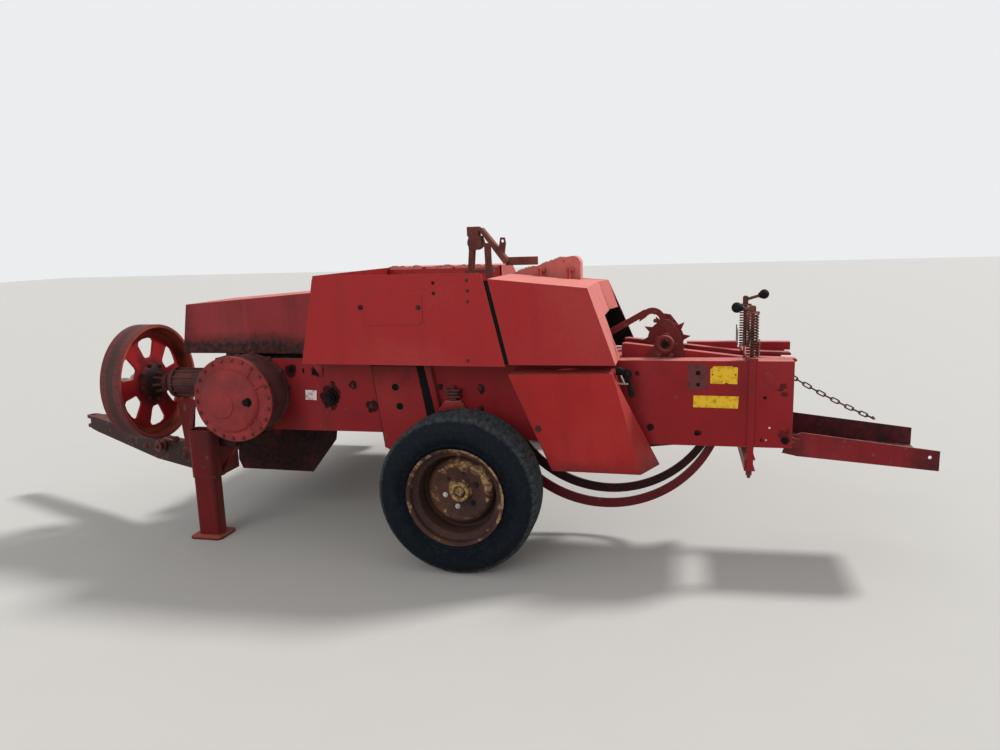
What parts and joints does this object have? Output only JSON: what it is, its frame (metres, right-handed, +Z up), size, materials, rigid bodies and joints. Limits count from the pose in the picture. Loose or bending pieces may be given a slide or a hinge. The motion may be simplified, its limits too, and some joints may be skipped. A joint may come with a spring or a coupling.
{
  "type": "square baler",
  "caption": "Tractor-drawn small square baler with offset pickup, flywheel, knotter covers, curved needles and rear bale chute, parked on its stand.",
  "frame": {"origin": "on the ground under the middle of the outline", "axes": "+X towards the chute at the rear, -X towards the hitch, +Y towards the pickup, +Z up"},
  "size_m": [5.0419, 2.6, 1.653],
  "materials": {
    "red_paint": "faded and dusty, chipped at the edges",
    "dark_red_paint": "dull, dirty",
    "rusty_iron": "rusty and greasy",
    "worn_steel": "worn bright and stained",
    "wheel_paint": "mostly rust with old paint",
    "tyre": "dusty"
  },
  "bodies": {
    "root": {"left_wall": "red_paint", "right_wall": "red_paint", "chamber_floor": "dark_red_paint", "chamber_roof": "dark_red_paint", "front_frame": "dark_red_paint", "tension_rails": "dark_red_paint", "tension_frame": "dark_red_paint", "tension_springs": "rusty_iron", "tension_screws": "rusty_iron", "star_bracket": "rusty_iron", "crank_cover": "red_paint", "gearbox_housing": "rusty_iron", "gearbox_cover": "rusty_iron", "plunger": "worn_steel", "twine_box": "red_paint", "drive_cover": "red_paint", "lower_shield": "red_paint", "knotters": "rusty_iron", "needle_pivots": "dark_red_paint", "feed_deck": "dark_red_paint", "feed_hood": "red_paint", "packer": "rusty_iron", "axle_beam": "dark_red_paint", "axle_plates": "red_paint", "spindles": "worn_steel", "pickup_pivots": "dark_red_paint", "drawbar_mount": "dark_red_paint", "stand_sleeve": "red_paint", "chute_hinges": "rusty_iron", "chute_chain": "rusty_iron"},
    "wheel_left": {"left_rim": "wheel_paint", "left_tyre": "tyre"},
    "wheel_right": {"right_rim": "wheel_paint", "right_tyre": "tyre"},
    "flywheel": {"flywheel": "red_paint", "pto_shaft": "worn_steel"},
    "pickup": {"pickup_frame": "dark_red_paint"},
    "reel": {"pickup_reel": "worn_steel"},
    "drawbar": {"drawbar": "dark_red_paint"},
    "stand": {"stand_leg": "dark_red_paint"},
    "chute": {"chute": "dark_red_paint"},
    "knotter_lid": {"knotter_cover": "red_paint"},
    "needles": {"needle_yoke": "dark_red_paint", "needles": "dark_red_paint"},
    "star_wheel": {"star_wheel": "dark_red_paint"}
  },
  "joints": [
    {"name": "wheel_left_spin", "type": "hinge", "parent": "root", "child": "wheel_left", "pos_m": [0.35598, -1.17, 0.39], "axis": [0, 1, 0], "continuous": true},
    {"name": "wheel_right_spin", "type": "hinge", "parent": "root", "child": "wheel_right", "pos_m": [0.35598, 1.21, 0.34], "axis": [0, 1, 0], "continuous": true},
    {"name": "flywheel_spin", "type": "hinge", "parent": "root", "child": "flywheel", "pos_m": [-1.49402, -0.87, 0.845], "axis": [1, 0, 0], "continuous": true},
    {"name": "pickup_lift", "type": "hinge", "parent": "root", "child": "pickup", "pos_m": [-0.66402, 0.3, 0.55], "axis": [0, 1, 0], "range_deg": [-9, 0]},
    {"name": "reel_spin", "type": "hinge", "parent": "pickup", "child": "reel", "pos_m": [-1.06402, 0.3, 0.45], "axis": [0, 1, 0], "continuous": true},
    {"name": "drawbar_swing", "type": "hinge", "parent": "root", "child": "drawbar", "pos_m": [-1.20402, -0.88, 0.4], "axis": [0, 0, 1], "range_deg": [0, 40]},
    {"name": "stand_slide", "type": "slide", "parent": "root", "child": "stand", "axis": [0, 0, 1], "range_m": [0, 0.3]},
    {"name": "chute_fold", "type": "hinge", "parent": "root", "child": "chute", "pos_m": [1.90598, -0.68, 0.6], "axis": [0, 1, 0], "range_deg": [-80, 0]},
    {"name": "knotter_lid_hinge", "type": "hinge", "parent": "root", "child": "knotter_lid", "pos_m": [0.73598, -0.562, 1.415], "axis": [-1, 0, 0], "range_deg": [0, 80]},
    {"name": "needle_swing", "type": "hinge", "parent": "root", "child": "needles", "pos_m": [1.01198, -0.68, 0.803], "axis": [0, 1, 0], "range_deg": [0, 58]},
    {"name": "star_wheel_spin", "type": "hinge", "parent": "root", "child": "star_wheel", "pos_m": [1.31098, -0.68, 1.065], "axis": [0, 1, 0], "continuous": true}
  ]
}
